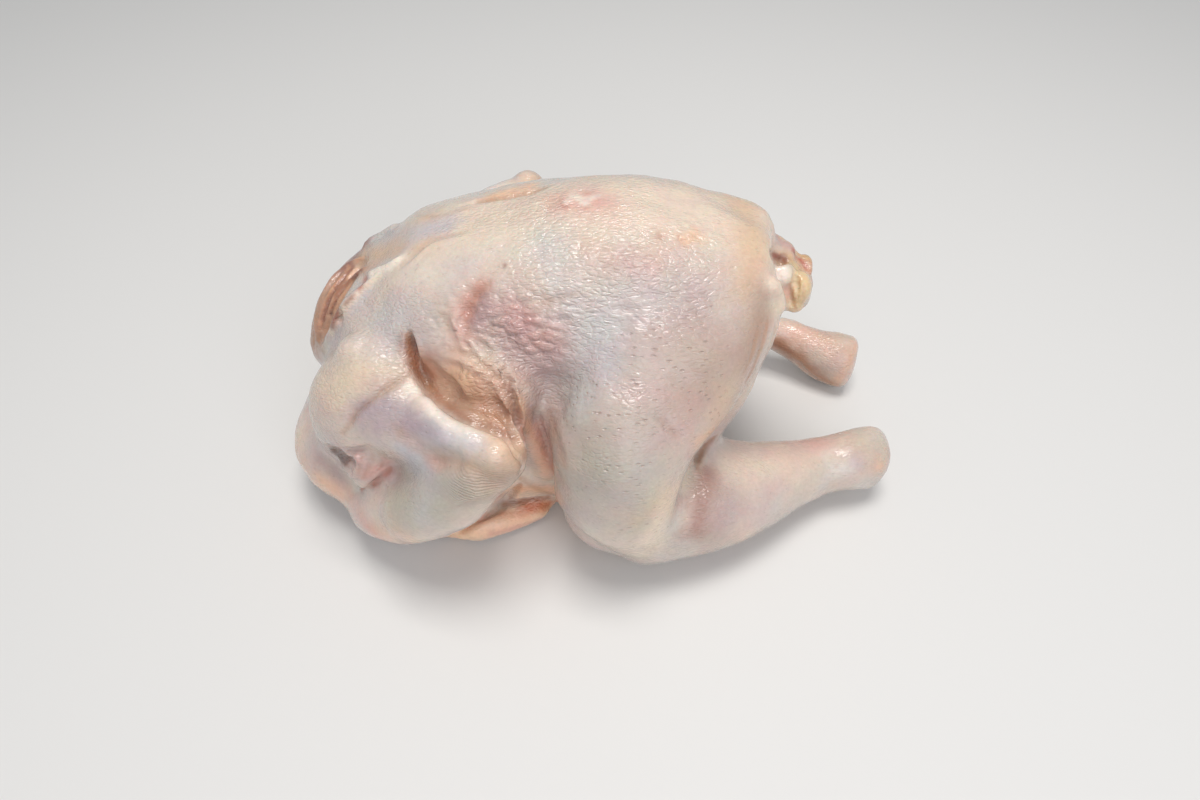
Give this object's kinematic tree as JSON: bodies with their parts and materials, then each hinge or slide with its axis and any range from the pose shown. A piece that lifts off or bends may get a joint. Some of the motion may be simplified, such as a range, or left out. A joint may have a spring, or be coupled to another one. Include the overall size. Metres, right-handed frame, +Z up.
{
  "type": "whole raw chicken",
  "caption": "Plucked and drawn raw chicken lying on its breast, wings folded at the sides, thighs splayed and drumsticks pointing back beside the tail.",
  "frame": {"origin": "centre of the bounding box's base, on the surface the bird lies on", "axes": "+X towards the tail, +Y towards the bird's right side, +Z up out of its back"},
  "size_m": [0.259, 0.1774, 0.1318],
  "materials": {
    "skin": null
  },
  "bodies": {
    "root": {"chicken": "skin"}
  },
  "joints": []
}
